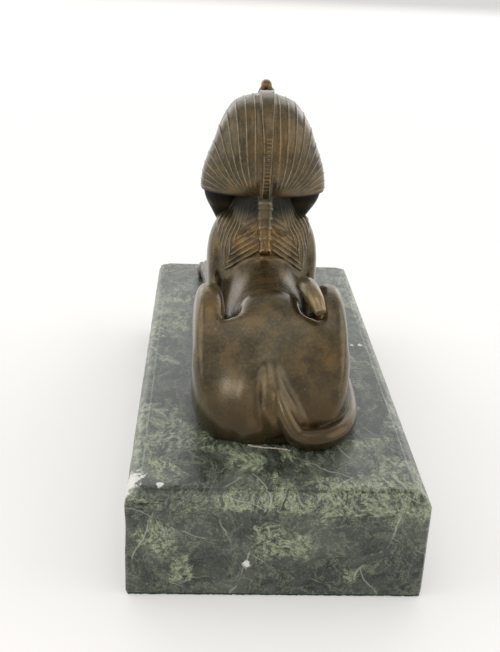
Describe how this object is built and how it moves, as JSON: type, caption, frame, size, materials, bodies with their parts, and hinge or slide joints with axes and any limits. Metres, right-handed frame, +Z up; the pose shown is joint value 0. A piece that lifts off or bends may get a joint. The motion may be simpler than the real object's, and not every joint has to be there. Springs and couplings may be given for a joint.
{
  "type": "sphinx statue on a plinth",
  "caption": "Couchant Egyptian-revival sphinx in patinated bronze on a rectangular green marble plinth with a moulded top edge and a baize pad.",
  "frame": {"origin": "middle of the baize pad's underside, which is the middle of the footprint", "axes": "+Z up, the sphinx looks along -Y, and its right side is towards -X"},
  "size_m": [0.12, 0.267, 0.1785],
  "materials": {
    "baize": "dark green wool baize",
    "marble": "polished dark green marble with pale veins",
    "bronze": "cast bronze, brown patina, rubbed golden on the high spots"
  },
  "bodies": {
    "root": {"baize_pad": "baize", "marble_plinth": "marble", "bronze_sphinx": "bronze"}
  },
  "joints": []
}
